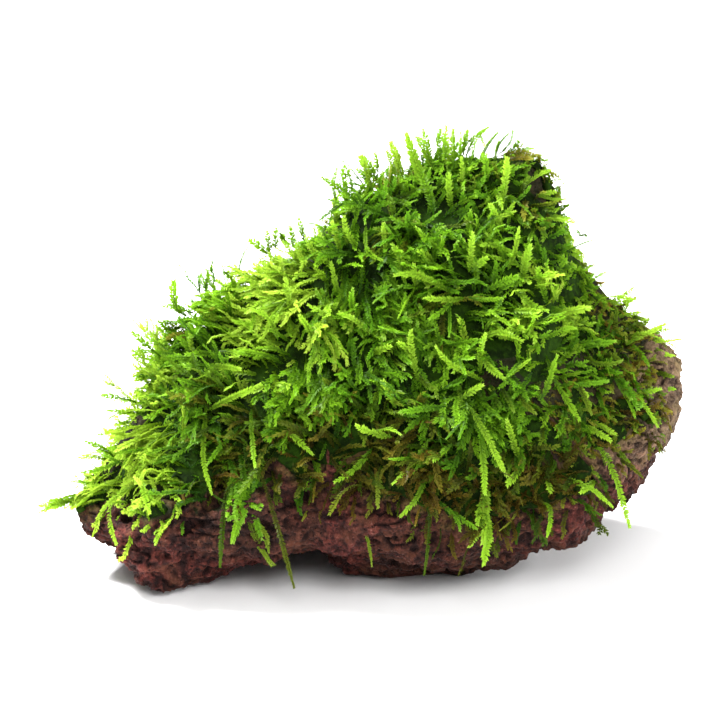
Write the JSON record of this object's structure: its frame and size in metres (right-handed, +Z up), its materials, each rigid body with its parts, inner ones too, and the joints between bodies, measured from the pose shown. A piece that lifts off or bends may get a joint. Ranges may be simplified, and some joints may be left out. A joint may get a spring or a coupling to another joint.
{
  "type": "java moss on stone",
  "caption": "Lump of porous red lava stone with a high peak, grown over by a cushion of java moss whose long shoots hang over its bare front.",
  "frame": {"origin": "middle of the whole object's footprint, on the surface the stone rests on", "axes": "+X along the stone from its low left end to its overhanging right end, +Y from its front to its back, +Z up"},
  "size_m": [0.1424, 0.081, 0.095],
  "materials": {
    "stone": "rough, porous red lava",
    "moss": "soft green moss, damp",
    "shoots": "bright green feathery shoots, damp"
  },
  "bodies": {
    "root": {"stone": "stone", "moss_mat": "moss", "shoot_left_trailing": "shoots", "shoot_left_low": "shoots", "shoot_left_middle": "shoots", "shoot_left_upper": "shoots", "shoot_left_bright": "shoots", "shoot_slope_low": "shoots", "shoot_slope_high": "shoots", "shoot_wisp": "shoots", "shoot_crest_left": "shoots", "shoot_crest_middle": "shoots", "shoot_crest_right": "shoots", "shoot_right_high": "shoots", "shoot_right_middle": "shoots", "shoot_right_low": "shoots", "shoot_front_left": "shoots", "shoot_front_tuft": "shoots", "shoot_front_long": "shoots", "shoot_front_curl": "shoots", "shoot_front_thin": "shoots", "shoot_front_bright": "shoots", "shoot_front_sprig": "shoots", "shoot_front_right": "shoots"}
  },
  "joints": []
}
